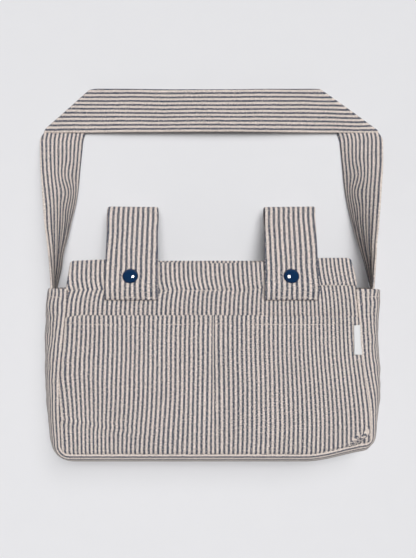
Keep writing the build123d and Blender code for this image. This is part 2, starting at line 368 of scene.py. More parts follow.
def woven(n, threads):
    """Height and over-under sign of a plain weave, threads to each unit of cloth."""
    place = n.add("ShaderNodeUVMap", uv_map="cloth").outputs[0]
    split = n.add("ShaderNodeSeparateXYZ")
    n.join(place, split.inputs[0])
    wobble = n.math("MULTIPLY", n.math("SUBTRACT", n.noise(n.scaled(place, 1.3, 1.3), 2.0), 0.5), 0.12)
    across = n.math("MULTIPLY", n.math("ADD", split.outputs[0], wobble), math.pi * threads)
    along = n.math("MULTIPLY", n.math("ADD", split.outputs[1], wobble), math.pi * threads)
    over = n.math("MULTIPLY", n.math("SINE", across), n.math("SINE", along))
    return place, split, over


def canvas(name, dark, pale, dark_share=0.5):
    """Ticking: slate-blue and cream warp stripes crossed by a cream weft."""
    n = Nodes(name)
    place, split, over = woven(n, 9.0)
    slub = n.noise(n.scaled(place, 9.0, 1.1), 1.0, 3.0)
    ragged = n.noise(n.scaled(place, 2.2, 4.2), 1.0, 3.0)
    fleck = n.noise(n.scaled(place, 4.2, 3.2), 1.0, 3.0)
    cloudy = n.noise(n.scaled(place, 0.12, 0.12), 1.0, 2.0)
    ripple = n.math("MULTIPLY", n.math("SUBTRACT", ragged, 0.5), 0.20)
    edge = n.math("MULTIPLY", over, 0.05)
    wander = n.math("MULTIPLY", n.math("SUBTRACT", n.noise(n.scaled(place, 0.45, 0.55), 1.0, 2.0), 0.5), 0.14)
    across = n.math("ADD", n.math("ADD", n.math("ADD", split.outputs[0], wander), ripple), edge)
    away = n.math("MULTIPLY", n.math("ABSOLUTE", n.math("SUBTRACT", n.math("FRACT", across), 0.5)), 2.0)
    stripe = n.add("ShaderNodeMapRange", interpolation_type="SMOOTHSTEP")
    n.join(away, stripe.inputs["Value"])
    stripe.inputs["From Min"].default_value = dark_share - 0.09
    stripe.inputs["From Max"].default_value = dark_share + 0.09
    weft = n.math("MULTIPLY", n.math("MAXIMUM", n.math("MULTIPLY", over, -1.0), 0.0), 0.16)
    speck = n.math("MULTIPLY", n.math("MAXIMUM", n.math("SUBTRACT", fleck, 0.5), 0.0), 3.6)
    dark_yarn = n.mix(n.math("MINIMUM", n.math("ADD", weft, speck), 1.0), dark, pale)
    pale_shade = tuple(0.62 * v for v in pale)
    shaded = n.math("MINIMUM", n.math("MULTIPLY", n.math("MAXIMUM", n.math("SUBTRACT", 0.55, fleck), 0.0), 4.5), 1.0)
    pale_yarn = n.mix(shaded, pale, pale_shade)
    colour = n.mix(stripe.outputs[0], dark_yarn, pale_yarn)
    tone = n.add("ShaderNodeHueSaturation")
    streak = n.noise(n.scaled(place, 1.6, 5.5), 1.0, 1.0)
    uneven = n.math("ADD", n.math("MULTIPLY", n.math("SUBTRACT", cloudy, 0.5), 0.16),
                    n.math("MULTIPLY", n.math("SUBTRACT", streak, 0.5), 0.9))
    n.join(n.math("ADD", uneven, 1.0), tone.inputs["Value"])
    n.join(colour, tone.inputs["Color"])
    n.join(tone.outputs[0], n.shader.inputs["Base Color"])
    n.shader.inputs["Roughness"].default_value = 0.92
    n.shader.inputs["Specular IOR Level"].default_value = 0.18
    n.shader.inputs["Sheen Weight"].default_value = 0.08
    n.shader.inputs["Sheen Roughness"].default_value = 0.5
    height = n.math("ADD", n.math("MULTIPLY", over, 0.5), n.math("MULTIPLY", slub, 0.8))
    n.bump(height, 0.5, 0.00025)
    return n.material


def plain_weave(name, colour, threads=9.0, bump=0.3, roughness=0.85):
    """Tape, ribbon or thread of one colour with a fine weave."""
    n = Nodes(name)
    place, _split, over = woven(n, threads)
    fleck = n.noise(n.scaled(place, 4.0, 6.0), 1.5, 2.0)
    darker = tuple(0.82 * v for v in colour)
    n.join(n.mix(n.math("MULTIPLY", fleck, 0.8), colour, darker), n.shader.inputs["Base Color"])
    n.shader.inputs["Roughness"].default_value = roughness
    n.shader.inputs["Specular IOR Level"].default_value = 0.2
    n.bump(n.math("ADD", over, fleck), bump, 0.0002)
    return n.material


def thread_material(name, colour):
    """Sewing thread, with the twist of its plies as a fine bump."""
    n = Nodes(name)
    place = n.add("ShaderNodeTexCoord").outputs["Object"]
    grain = n.noise(place, 2600.0, 2.0)
    darker = tuple(0.7 * v for v in colour)
    n.join(n.mix(n.math("MULTIPLY", grain, 0.5), colour, darker), n.shader.inputs["Base Color"])
    n.shader.inputs["Roughness"].default_value = 0.7
    n.bump(grain, 0.4, 0.0002)
    return n.material


def enamel(name):
    """Glossy navy enamel with a trace of orange peel."""
    n = Nodes(name)
    place = n.add("ShaderNodeTexCoord").outputs["Object"]
    peel = n.noise(place, 500.0, 2.0)
    n.join(n.mix(peel, (0.0015, 0.022, 0.072), (0.002, 0.030, 0.098)), n.shader.inputs["Base Color"])
    n.shader.inputs["Roughness"].default_value = 0.6
    n.shader.inputs["Specular IOR Level"].default_value = 0.0
    n.shader.inputs["Coat Weight"].default_value = 1.0
    n.shader.inputs["Coat Roughness"].default_value = 0.05
    n.bump(peel, 0.01, 0.0002)
    return n.material


def plated(name):
    """Satin nickel plate with fine turning marks."""
    n = Nodes(name)
    place = n.add("ShaderNodeTexCoord").outputs["Object"]
    marks = n.noise(place, 900.0, 3.0)
    n.join(n.mix(marks, (0.50, 0.50, 0.49), (0.68, 0.67, 0.65)), n.shader.inputs["Base Color"])
    n.shader.inputs["Metallic"].default_value = 1.0
    n.shader.inputs["Roughness"].default_value = 0.3
    n.bump(marks, 0.1, 0.0001)
    return n.material


def paper(name):
    """The pale, even surface under the bag."""
    n = Nodes(name)
    place = n.add("ShaderNodeTexCoord").outputs["Object"]
    grain = n.noise(place, 40.0, 3.0)
    n.join(n.mix(grain, (0.775, 0.775, 0.795), (0.79, 0.79, 0.81)), n.shader.inputs["Base Color"])
    n.shader.inputs["Roughness"].default_value = 0.95
    n.shader.inputs["Specular IOR Level"].default_value = 0.1
    return n.material


SLATE = (0.037, 0.054, 0.092)
CREAM = (0.81, 0.71, 0.65)
CANVAS = canvas("striped_canvas", SLATE, CREAM)
TAPE = plain_weave("cotton_tape", (0.74, 0.68, 0.60))
RIBBON = plain_weave("label_ribbon", (0.86, 0.86, 0.87), threads=14.0, bump=0.15, roughness=0.55)
THREAD = thread_material("sewing_thread", (0.80, 0.74, 0.67))
ENAMEL = enamel("navy_enamel")
NICKEL = plated("nickel_plate")
FLOOR = paper("studio_floor")


# ---------------------------------------------------------------- the bag's outline

def drop(y):
    """How far down the bag a place is, from 0 at the mouth to 1 at the base."""
    return np.clip((MOUTH - y) / (MOUTH - SEAM_BASE), 0, 1)


def left_half(y):
    """How far the left side is from the middle line."""
    return eased(drop(y), [0, 0.15, 0.28, 0.4, 0.52, 0.67, 0.8, 0.92, 1],
                 [140.6, 142.4, 145, 147, 148.4, 148.8, 148.3, 147.3, 147])


def right_half(y):
    """How far the right side is from the middle line."""
    return eased(drop(y), [0, 0.11, 0.2, 0.41, 0.52, 0.64, 0.73, 0.82, 1],
                 [140.8, 142.6, 143.9, 146.6, 148.9, 151.6, 154, 155, 155])


def base_line(x):
    """The front seam along the base, which rises towards the right-hand corner."""
    return SEAM_BASE + 2.0 + 11.5 * smooth((x - 92) / 68)


def rounded(height, radius):
    """How far a corner of this radius draws a side in, at a height above the base."""
    short = np.clip(1 - height / radius, 0, 1)
    return radius * (1 - np.sqrt(np.maximum(1 - short**2, 0)))


def panel_place(u, height, front=True):
    """A place on a panel: u is 0 at its left seam and 1 at its right, height is above its base."""
    y = SEAM_BASE + height
    left = -left_half(y) if front else -0.5 * (left_half(y) + right_half(y))
    right = right_half(y) if front else -left
    left_corner, right_corner = FRONT_CORNERS if front else BACK_CORNERS
    left = left + rounded(height, left_corner)
    right = right - rounded(height, right_corner)
    x = left + (right - left) * u
    rise = (base_line(x) - SEAM_BASE) * (1.0 if front else 0.8)
    return x, y + rise * np.clip(1 - height / 90.0, 0, 1)


def seam_path(front=True):
    """A panel's seam from the mouth's left end, round the base, to its right end."""
    heights = np.concatenate([np.linspace(LIP_START, 30, 60), 30 * np.linspace(1, 0, 40)[1:] ** 2])
    left = np.column_stack(panel_place(np.zeros_like(heights), heights, front))
    across = np.linspace(0, 1, 120)[1:-1]
    base = np.column_stack(panel_place(across, np.zeros_like(across), front))
    right = np.column_stack(panel_place(np.ones_like(heights), heights[::-1], front))
    return evenly(np.vstack([left, base, right]), 2.0)


def crumple(x, y):
    """The gathered cloth across the front's lower right corner: its height and its sideways shift."""
    right, up = x - CRUMPLE_AT[0], y - CRUMPLE_AT[1]
    along = right * CRUMPLE_ALONG[0] + up * CRUMPLE_ALONG[1]
    off = up * CRUMPLE_ALONG[0] - right * CRUMPLE_ALONG[1]
    ridge = bell(off, 3.0) * bell(along, 10.0) ** 0.5 * (np.abs(along) < 13)
    return 3.6 * ridge * (0.4 + 0.8 * np.sin(along * 1.4 + 0.5 * off)), 4.2 * ridge * np.sin(along * 1.5 + off)


def front_waves(x, y):
    """Sideways sway of the stripes and height of the soft ripples in the front, in millimetres."""
    sway = 0.5 * value_noise(x / 45 + 3, y / 38 + 5, 1) + 0.25 * value_noise(x / 14, y / 30 + 2, 2)
    left = np.maximum(x + left_half(y), 0)
    bow = eased(y, [-182, -172, -160, -148, -139, -128, -112, -97, -88, -76, -60, -44, 20],
                [0, 0.4, -0.8, -1.6, -0.3, -2.0, -3.6, -5.6, -4.6, -3.0, -1.7, 0, 0])
    sway = sway + bow * np.exp(-left / 26)
    sway = sway + 0.6 * bell(y + 93.5, 4.0) * np.exp(-left / 20)
    sway = sway - 3.6 * smooth((-112 - y) / 70) * bell(x + 75, 42)
    sway = sway + 0.93 * (right_half(y) - 155) * np.clip((x - 40) / 110, 0, 1) ** 1.3
    height = 0.45 * value_noise(x / 34 + 9, y / 46 + 1, 3)
    crease = bell(y + 143 + 0.16 * (x + 147), 3.0) * smooth((-50 - x) / 50)
    sway = sway + 0.9 * crease
    height = height + 1.2 * crease
    beside_seam = bell(left - 7, 6) * smooth((-44 - y) / 12) * smooth((y + 150) / 30)
    height = height + 0.9 * beside_seam * np.sin((y + 56) / 8.5)
    ridge, shift = crumple(x, y)
    return sway + shift, height + ridge


def crease_line(x):
    """Where the lip turns down from the front: its stitched crease rises at the right."""
    return MOUTH - 0.8 + 4.8 * smooth((x - 20) / 85)


def lip_edge(x):
    """Where the lip's folded edge lies, which sags between the tabs."""
    return eased(x, [-142, -138, -108, -80, -51, -3, 30, 57, 80, 106, 142],
                 [9.6, 9.8, 11.2, 10.6, 8.4, 7.1, 7.8, 9.6, 11.2, 12.7, 12.8])


def crease_kink(x, y):
    """How the stripes swing sideways towards the lip's crease, above it and below it."""
    up = y - crease_line(x)
    above = np.interp(x, [-140, -60, 0, 26, 57, 95, 140], [4.0, 4.6, 3.8, 2.0, 0.8, 2.4, 2.6])
    below = np.interp(x, [-140, -90, -60, 0, 26, 57, 95, 140], [4.2, 3.6, 2.4, 2.0, 1.9, 1.4, -1.6, -2.2])
    return np.where(up > 0, above * np.exp(-np.abs(up) / 9.0), below * np.exp(-np.abs(up) / 9.0))


def pocket_crown(x, y):
    """How far the pocket stands off the front: two low swells either side of its middle seam."""
    half = np.where(x > 0, right_half(y), left_half(y))
    f = np.clip(np.abs(x - POCKET_MIDDLE) / half, 0, 1)
    swell = np.sin(math.pi * f) ** 0.75
    along = 0.35 + 0.65 * smooth((y - SEAM_BASE) / 70)
    return 5.0 * swell * along * smooth((y - SEAM_BASE) / 25)


def roll_edges(x, y, edge=5.0, depth=2.4):
    """The front turns down into its seams."""
    up = y - base_line(x)
    left = x + left_half(y) - rounded(up, FRONT_CORNERS[0])
    right = right_half(y) - rounded(up, FRONT_CORNERS[1]) - x
    near = np.minimum(np.minimum(left, right), up)
    return depth * (1 - smooth(near / edge)) ** 2


# ---------------------------------------------------------------- pieces of the bag

def dressed(obj, body, *nodes, slot="canvas"):
    """Puts a piece on its body and hides the CAD nodes it takes the place of."""
    if nodes:
        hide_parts(*nodes)
    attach(obj, body)


def make_front_panel():
    """The front, from its base up over the crease to the folded edge of the deep lip."""
    heights = np.concatenate([
        np.array([0, 0.4, 1.2, 2.5, 4.5, 8, 13, 20, 27]),
        np.linspace(32, LIP_START - 40, 30),
        np.linspace(LIP_START - 38, LIP_START - 3, 26),
        np.linspace(LIP_START - 2.4, LIP_START + 3, 14),
        np.linspace(LIP_START + 4, LIP_START + LIP_LENGTH, 26),
    ])
    u = np.concatenate([[0, 0.003, 0.008, 0.015], np.linspace(0.022, 0.978, 150), [0.985, 0.992, 0.997, 1]])
    uu, hh = np.meshgrid(u, heights)
    x, y = panel_place(uu, hh)
    up = np.clip((hh - LIP_START) / LIP_LENGTH, 0, 1)
    short = rounded((1 - up) * LIP_LENGTH, 2.2)
    left = -(MOUTH_HALF + 0.2 - 1.6 * up) + short
    right = (MOUTH_HALF + 0.3 - 2.0 * up - 1.6 * smooth((up - 0.4) / 0.6)) - 1.5 * short
    x = np.where(up > 0, left + (right - left) * uu, x)
    y = y + (crease_line(x) - MOUTH) * np.clip(1 - (LIP_START - hh) / 30.0, 0, 1) * (up <= 0)
    y = np.where(up > 0, crease_line(x) + (lip_edge(x) - crease_line(x)) * up, y)
    sway, height = front_waves(x, y)
    kink = crease_kink(x, y)
    cloth = np.stack([dark_at(x - sway - kink, FRONT_DARK, STRIPE + 0.12 * (up > 0)), y / STRIPE], axis=2)
    off = np.abs(y - crease_line(x))
    sink = math.tan(LIP_TILT) * np.maximum(y - crease_line(x) - 1.5, 0) * (up > 0)
    sag = 1.6 * bell(x, 60.0) * smooth(up)
    z = FRONT_Z - CLOTH / 2 - sink - sag + 0.8 * height
    z = z - 0.8 * np.exp(-off / 1.1) - 0.35 * (1 - smooth(off / 14))
    z = z - np.where(up > 0, 0, roll_edges(x, y)) * 0.8
    z = z - 1.0 * (hh < LIP_START - 30)
    points = np.stack([x, y, z], axis=2)
    thick = np.where(up > 0.01, 2.3 - 0.6 * (1 - smooth((1 - up) * LIP_LENGTH / 2.5)), CLOTH)
    dressed(cloth_shell("front_panel_cloth", points, cloth, thick, CANVAS), "bag", "front_panel")
    row = int(np.argmin(np.abs(heights - LIP_START - 0.6)))
    normal = grid_normals(points)
    line = points[row, 3:-3] + normal[row, 3:-3] * 0.9
    dressed(stitch_row("lip_stitches", line, normal[row, 3:-3], THREAD), "bag")


def make_back_panel():
    """The back, flat on the surface, with its hemmed lip."""
    top = BACK_HIGH[1] - SEAM_BASE
    heights = np.concatenate([
        np.array([0, 0.4, 1.2, 2.5, 4.5, 8, 13]),
        np.linspace(18, LIP_START, 60),
        np.linspace(LIP_START + 2, top, 14),
    ])
    uu, hh = np.meshgrid(np.linspace(0, 1, 120), heights)
    x, y = panel_place(uu, hh, front=False)
    up = np.maximum(hh - LIP_START, 0)
    corner = rounded(top - hh, 3.0) * (up > 0)
    half = MOUTH_HALF - 2.0 * up / (top - LIP_START) - corner
    x = np.where(up > 0, half * (2 * uu - 1), x)
    cloth = np.stack([x / STRIPE, y / STRIPE], axis=2)
    z = BACK_Z / 2 + 0.05 + 0.5 * smooth(up / 1.5) + 0.25 * np.abs(value_noise(x / 30, y / 40, 11))
    points = np.stack([x, y, z], axis=2)
    thick = np.where(up > 1.5, 2.2, CLOTH)
    dressed(cloth_shell("back_panel_cloth", points, cloth, thick, CANVAS), "bag", "back_panel")


def make_front_pocket():
    """The divided pocket over the front, with its narrow hem."""
    top = POCKET_TOP - SEAM_BASE
    heights = np.concatenate([
        np.array([0, 0.4, 1.2, 2.2, 3.5, 5, 7, 9.5, 12.5, 16, 20]),
        np.linspace(22, top - 14, 80),
        np.linspace(top - 12, top, 22),
    ])
    u = np.concatenate([
        [0, 0.003, 0.007, 0.012, 0.018],
        np.linspace(0.025, 0.9, 170),
        np.linspace(0.905, 0.975, 30),
        [0.982, 0.988, 0.993, 0.997, 1],
    ])
    uu, hh = np.meshgrid(u, heights)
    x, y = panel_place(uu, hh)
    near_seam = np.minimum(x + left_half(y), right_half(y) - x)
    y = y - 2.2 * (1 - smooth(near_seam / 16)) * smooth((hh - top + 30) / 30)
    sway, height = front_waves(x, y)
    z = FRONT_Z + CLOTH / 2 + 0.15 + pocket_crown(x, y) + 0.9 * height - roll_edges(x, y)
    aside = x - POCKET_MIDDLE
    z = z - 0.9 * np.exp(-np.abs(aside) / 1.3)
    below = top - hh
    z = z - 0.55 * bell(below - HEM, 0.9)
    points = np.stack([x, y, z], axis=2)
    seam_pull = 1.1 * aside / 6 * bell(aside, 6)
    lower = -68 - y  # the stripes lean away from the middle seam, more so further down
    leaning_left = (0.5 + 0.0155 * lower) * smooth((x + 140) / 40)
    leaning_right = 0.3 + 0.6 * smooth(lower / 60) + 1.6 * smooth((x - 25) / 60)
    right_side = smooth((x - 0.3) / 2.4)
    taken_up = leaning_left * (1 - right_side) + (2.4 - leaning_right) * right_side
    across = dark_at(x - sway + seam_pull + taken_up, POCKET_DARK, POCKET_STRIPE)
    thick = np.where(below < HEM, HEMMED, CLOTH) - 0.7 * bell(below, 0.8)
    cloth = np.stack([across, y / STRIPE], axis=2)
    dressed(cloth_shell("front_pocket_cloth", points, cloth, thick, CANVAS), "bag", "front_pocket")
    normal = grid_normals(points)
    row = int(np.argmin(np.abs(below[:, 0] - HEM)))
    line = points[row, 4:-4] + normal[row, 4:-4] * 0.8
    dressed(stitch_row("pocket_hem_stitches", line, normal[row, 4:-4], THREAD), "bag")
    column = int(np.argmin(np.abs(aside[len(heights) // 2])))
    line = points[8:, column] + normal[8:, column] * 0.55
    dressed(stitch_row("pocket_middle_stitches", line, normal[8:, column], THREAD), "bag")


def cross_section(boxy):
    """Half a rounded box on its side, from the back seam (0, 0) out to (1, 0.5) and in to the front seam (0, 1)."""
    angles = np.linspace(0, math.pi, 181)
    out = np.sin(angles) ** (2 / boxy)
    high = 0.5 - 0.5 * np.sign(np.cos(angles)) * np.abs(np.cos(angles)) ** (2 / boxy)
    return out, high


def gusset_points():
    """The strip that runs down one side, along the base and up the other, between the two seams."""
    front, back = seam_path(True), seam_path(False)
    count = len(front)
    step = np.linspace(0, 1, count)
    back = np.column_stack([np.interp(step, np.linspace(0, 1, len(back)), back[:, k]) for k in range(2)])
    out = outward(front)
    run = running(front)
    across = np.linspace(0, 1, GUSSET_ROWS)
    points = np.zeros((GUSSET_ROWS, count, 3))
    cloth = np.zeros((GUSSET_ROWS, count, 2))
    for i in range(count):
        x, y = front[i]
        from_mouth = min(run[i], run[-1] - run[i])
        side = smooth((abs(out[i][0]) - 0.2) / 0.5)
        if x < 0:
            depth = eased(y, [-180, -165, -151, -130, -105, -80, -66, -37, -18],
                          [11.5, 12.8, 14.0, 15.2, 17.4, 20.0, 21.6, 23.6, 22.3])
        else:
            depth = eased(y, [-180, -170, -162, -150, -141, -130, -120, -110, -80, -50, -39, -26, -18],
                          [6.5, 7.4, 9.2, 11.6, 13.4, 15.7, 18.4, 20.2, 22.4, 23.6, 25.1, 26.6, 27.4])
        depth = BASE_DEPTH + (depth - BASE_DEPTH) * side
        boxy = 2.1 + 0.8 * (1 - smooth(from_mouth / 45))
        sides, highs = cross_section(boxy)
        z = BACK_Z / 2 + (SEAM_Z - BACK_Z / 2) * highs
        lengths = np.concatenate([[0], np.cumsum(np.hypot(np.diff(sides * depth), np.diff(z)))])
        even = across * lengths[-1]
        reach = np.interp(even, lengths, sides * depth)
        tall = np.interp(even, lengths, z)
        mix = (tall - BACK_Z) / (SEAM_Z - BACK_Z)
        base = back[i] * (1 - mix)[:, None] + front[i] * mix[:, None]
        points[:, i, :2] = base + out[i] * reach[:, None]
        points[:, i, 2] = tall
        cloth[:, i, 0] = across * GUSSET_WIDTH / STRIPE + 0.3
        cloth[:, i, 1] = run[i] / STRIPE
    width, place = np.meshgrid(across, run, indexing="ij")
    free = np.sin(math.pi * width) ** 0.8
    on_side = smooth((np.abs(points[..., 0]) - 120) / 25)
    push = 0.7 * value_noise(place / 16, width * 5, 21) + 0.4 * value_noise(place / 7, width * 9, 22)
    push = push + 0.5 * value_noise(place / 60, width * 14, 23)
    points = points + grid_normals(points) * (push * free * on_side)[..., None]
    hem = np.minimum(place, run[-1] - place)
    sway = 0.30 * value_noise(place / 13, width * 6, 24) + 0.14 * value_noise(place / 6, width * 11, 25)
    pinch = 0.4 * bell(hem - HEM, 2.5) * value_noise(width * 9, 0 * place, 26)
    cloth[..., 0] += (sway * on_side * (1 + 1.2 * bell(hem, 40)) + pinch) * free
    wing = bell(width - 0.56, 0.30) * np.clip(1 - hem / 25, 0, 1) ** 2
    points[..., 1] += wing * np.where(points[..., 0] > 0, -2.5, -0.8)
    points[..., 2] = np.maximum(points[..., 2], 1.1 + 0.5 * (hem < HEM + 3))
    return points, cloth, run


def make_gusset():
    """The gusset, hemmed and stitched at both of its ends."""
    points, cloth, run = gusset_points()
    edge = np.minimum(run, run[-1] - run)
    thick = np.broadcast_to(np.where(edge < HEM, HEMMED, CLOTH), points.shape[:2])
    dressed(cloth_shell("gusset_cloth", points, cloth, thick, CANVAS), "bag", "gusset")
    normal = grid_normals(points)
    for word, from_end in (("left", run), ("right", run[-1] - run)):
        column = int(np.argmin(np.abs(from_end - HEM)))
        line = points[2:-2, column] + normal[2:-2, column] * 0.85
        dressed(stitch_row(f"{word}_gusset_stitches", line, normal[2:-2, column], THREAD), "bag")


def make_seam_bindings():
    """Tape folded over the raw edges of both seams, inside the bag."""
    for name, front, z in (("front_seam_binding", True, SEAM_Z - 1.6), ("back_seam_binding", False, BACK_Z + 1.0)):
        seam = seam_path(front)[::2]
        inward = -outward(seam)
        steps = np.linspace(1.6, 8.0, 6)
        points = np.zeros((len(steps), len(seam), 3))
        for k, reach in enumerate(steps):
            points[k, :, :2] = seam + inward * reach
            points[k, :, 2] = z
        cloth = np.stack(np.meshgrid(np.arange(len(seam)) * 0.9, steps / STRIPE), axis=2)
        dressed(cloth_shell(f"{name}_tape", points, cloth, 1.3, TAPE), "bag", name, slot="binding_tape")


# ---------------------------------------------------------------- tabs and press studs

CAPS = []
FOLD = {word: np.array(JOINTS[f"{word}_tab_fold"]["pos_m"]) / MM for word in ("left", "right")}
LIP_UP = np.array((0.0, math.sin(LIP_TILT), math.cos(LIP_TILT)))
LIP_ALONG = np.array((0.0, math.cos(LIP_TILT), -math.sin(LIP_TILT)))


def tab_line(fold_y, fold_z):
    """A tab's middle line in the (Y, Z) plane, from its sewn end round the fold to its free end."""
    sewn_z = 2 * CLOTH + TAB_CLOTH / 2
    low = np.array((14.0, sewn_z))
    run, rise = fold_y - low[0], fold_z - low[1]
    slope = math.atan2(rise, run) - math.asin(FOLD_RADIUS / math.hypot(run, rise))
    start = math.degrees(slope) - 90
    tilt = math.degrees(LIP_TILT)
    lift = TAB_GAP + TAB_CLOTH / 2
    flap_z = FRONT_Z + lift
    bend_y = MOUTH + lift * math.tan(LIP_TILT / 2)
    line = [(-14.0, sewn_z), (0.0, sewn_z), (12.0, sewn_z + 0.2)]
    line += arc((fold_y, fold_z), FOLD_RADIUS, start, 90 - tilt, 24)
    line += [(bend_y + 3.5, flap_z - 1.4), (bend_y - 1.5, flap_z - 0.5), (TAB_END, flap_z - 2.4)]
    even = evenly(np.array(line), 1.2)
    for _ in range(3):
        even[1:-1] = 0.25 * even[:-2] + 0.5 * even[1:-1] + 0.25 * even[2:]
    return even


def make_tab(word, side):
    """One tab: a doubled strip, sewn behind the back lip, turned over at its fold and closed on the front lip."""
    fold = FOLD[word]
    line = tab_line(fold[1], fold[2])
    run = running(line)
    t = np.concatenate([[-1, -0.985, -0.96], np.linspace(-0.92, 0.92, 45), [0.96, 0.985, 1]]) * TAB_HALF
    tt, rr = np.meshgrid(t, run)
    y = np.interp(rr, run, line[:, 0])
    z = np.interp(rr, run, line[:, 1])
    turn = run[int(np.argmax(line[:, 0]))]
    behind = smooth((turn - rr) / 40)
    centre = side * (np.interp(y, [TAB_END, 0.0, 67.0], [77.4, 78.0, 80.7]) * (1 - behind) + 83.5 * behind)
    from_end = run[-1] - rr
    ripple = 0.5 * value_noise(tt / 18 + 5, rr / 22, 31 + side) * smooth(from_end / 6)
    sway = 0.6 * value_noise(tt / 25, rr / 26 + 7, 41 + side) + side * 0.6 * smooth((40 - from_end) / 40)
    sway = sway - 1.3 * side * smooth((from_end - 45) / 50)
    stud = run[-1] - 25.0
    pinch = bell(rr - stud, 12.0) * bell(tt, 14.0)
    draw = (tt / 9) * bell(tt, 9.0) * (bell(rr - stud + 13, 9.0) + bell(rr - stud - 12, 8.0))
    edge = 0.5 * value_noise(rr / 20, 0 * rr, 45 + side) * tt / TAB_HALF
    bulge = 0.8 * bell(from_end - 12, 14) * (tt / TAB_HALF) * (tt > 0) * (side > 0)
    slant = 0.01 * side * tt * smooth((y - 30) / 30)
    points = np.stack([centre + tt + edge + bulge, y + slant, z + ripple * 0.5 - 0.5 * pinch], axis=2)
    cloth = np.stack([dark_at(tt - sway + draw, TAB_DARK, TAB_STRIPE), rr / STRIPE], axis=2)
    thick = TAB_CLOTH - 0.9 * bell(TAB_HALF - np.abs(tt), 0.8)
    obj = cloth_shell(f"{word}_tab_cloth", points, cloth, thick, CANVAS, round_edge=0.3)
    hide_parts(f"{word}_tab_loop", f"{word}_tab_flap")
    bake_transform(obj)
    normal = grid_normals(points)
    row = int(np.argmin(np.abs(run[-1] - run - 2.0)))
    face = np.sign(normal[row, 20, 2])
    line = points[row, 3:-3] + face * normal[row, 3:-3] * (TAB_CLOTH / 2 - 0.15)
    dressed(stitch_row(f"{word}_tab_end_stitches", line, face * normal[row, 3:-3], THREAD), f"{word}_tab")
    top = points[4, 3:-3] + np.array((0, 0, TAB_CLOTH / 2 - 0.15))
    dressed(stitch_row(f"{word}_tab_root_stitches", top, np.tile((0.0, 0.0, 1.0), (len(top), 1)), THREAD), "bag")


def make_snap(word):
    """A press stud: domed cap and socket on the tab, stud and rivet plate on the lip."""

    def turned(piece, profile, height, material, count=48):
        origin = np.array((STUD_X[word], MOUTH, FRONT_Z)) + LIP_ALONG * STUD_UP_LIP + LIP_UP * height
        return lathe(f"{word}_{piece}", profile, origin, LIP_UP, material, count)

    angles = np.linspace(0, math.pi / 2, 20)
    dome = [(7.35 * math.sin(a), 1.0 + 3.2 * math.cos(a)) for a in angles]
    rim = [(7.5, 0.85), (7.75, 0.6), (7.65, 0.25), (7.2, 0.0), (1.45, 0.0), (1.45, -2.7), (0.02, -2.7)]
    cap = [(0.02, dome[0][1])] + dome[1:] + rim
    obj = turned("cap", cap, TAB_GAP + TAB_CLOTH, ENAMEL, 96)
    CAPS.append(obj)
    dressed(obj, f"{word}_tab", f"{word}_snap_cap", slot="snap_enamel")
    socket = [(1.5, 0.0), (5.6, 0.0), (5.95, -0.15), (6.0, -0.5), (5.95, -1.7), (5.6, -2.1), (4.9, -2.2),
              (4.2, -2.0), (3.6, -2.2), (2.75, -2.2), (2.6, -2.0), (2.6, -0.5), (1.5, -0.5), (1.5, 0.0)]
    obj = turned("socket", socket, TAB_GAP, NICKEL)
    dressed(obj, f"{word}_tab", f"{word}_snap_socket", slot="snap_metal")
    stud = [(0.02, 2.5), (1.5, 2.5), (2.0, 2.35), (2.2, 2.0), (2.15, 1.4), (2.0, 0.9), (2.6, 0.8), (4.9, 0.8),
            (5.4, 0.65), (5.5, 0.35), (5.4, 0.05), (5.2, 0.0), (2.1, 0.0), (2.1, -0.01), (0.02, -0.01)]
    obj = turned("stud", stud, 0.0, NICKEL)
    dressed(obj, "bag", f"{word}_snap_stud", slot="snap_metal")
    post = [(0.02, 0.0), (4.6, 0.0), (5.6, 0.1), (6.0, 0.4), (5.9, 0.75), (5.4, 0.8), (2.0, 0.8), (2.0, 3.2),
            (0.02, 3.2)]
    obj = turned("post", post, -2 * CLOTH - 0.8, ENAMEL)
    dressed(obj, "bag", f"{word}_snap_post", slot="snap_enamel")


# ---------------------------------------------------------------- shoulder strap

def leg_section(a, t, draw):
    """A cross-section of the right leg, which lies flat by the corner and twists upright towards the mouth.

    a is 0 at the corner and 1 at the mouth, t runs from the inner edge to the outer edge, and draw is how much
    further in the whole leg is drawn. Gives x and z.
    """
    fine = np.linspace(0, STRAP_WIDTH, 240)  # from the outer edge inwards
    places = [-0.2, 0, 0.04, 0.1, 0.25, 0.41, 0.53, 0.65, 0.726, 0.8, 0.875, 0.95, 1, 1.2]
    steep = eased(a, places, [0, 1, 4, 17, 31, 46, 60, 71, 80, 88, 94, 99, 104, 108])
    steep = steep - 1.6 * draw * smooth((a - 0.75) / 0.15)
    narrow = eased(a, places, [0.98, 0.97, 0.95, 0.93, 0.91, 0.91, 0.95, 0.94, 0.97, 0.99, 0.98, 0.96, 1, 1])
    outer = eased(a, places, [180.4, 180.4, 179.8, 177.4, 175, 170.8, 167.4, 165.2, 162.8, 161, 160, 159, 158, 157])
    outer = outer - draw * eased(a, [0, 0.25, 0.41, 0.57, 0.73, 0.8, 0.875, 1.0, 1.2],
                                 [0, 0.3, 0.4, 0.3, 0.6, 0.8, 1.0, 0.9, 0.9])
    even = smooth((a - 0.55) / 0.42)
    share = (0.6 + 0.8 * fine / STRAP_WIDTH) * (1 - even) + even
    slope = np.minimum(math.radians(steep) * share, math.radians(114))
    slope = slope + math.radians(24) * smooth((a - 0.45) / 0.3) * np.sin(fine * 0.85 + 1.0)
    step = (fine[1] - fine[0]) * narrow
    middle = 0.5 * (slope[1:] + slope[:-1])
    inward = np.concatenate([[0], np.cumsum(np.cos(middle))]) * step
    down = np.concatenate([[0], np.cumsum(np.sin(middle))]) * step
    high = 1.15 + 3.0 * smooth(a) + down.max()
    gone = STRAP_WIDTH / 2 - t
    return outer - np.interp(gone, fine, inward), high - np.interp(gone, fine, down)


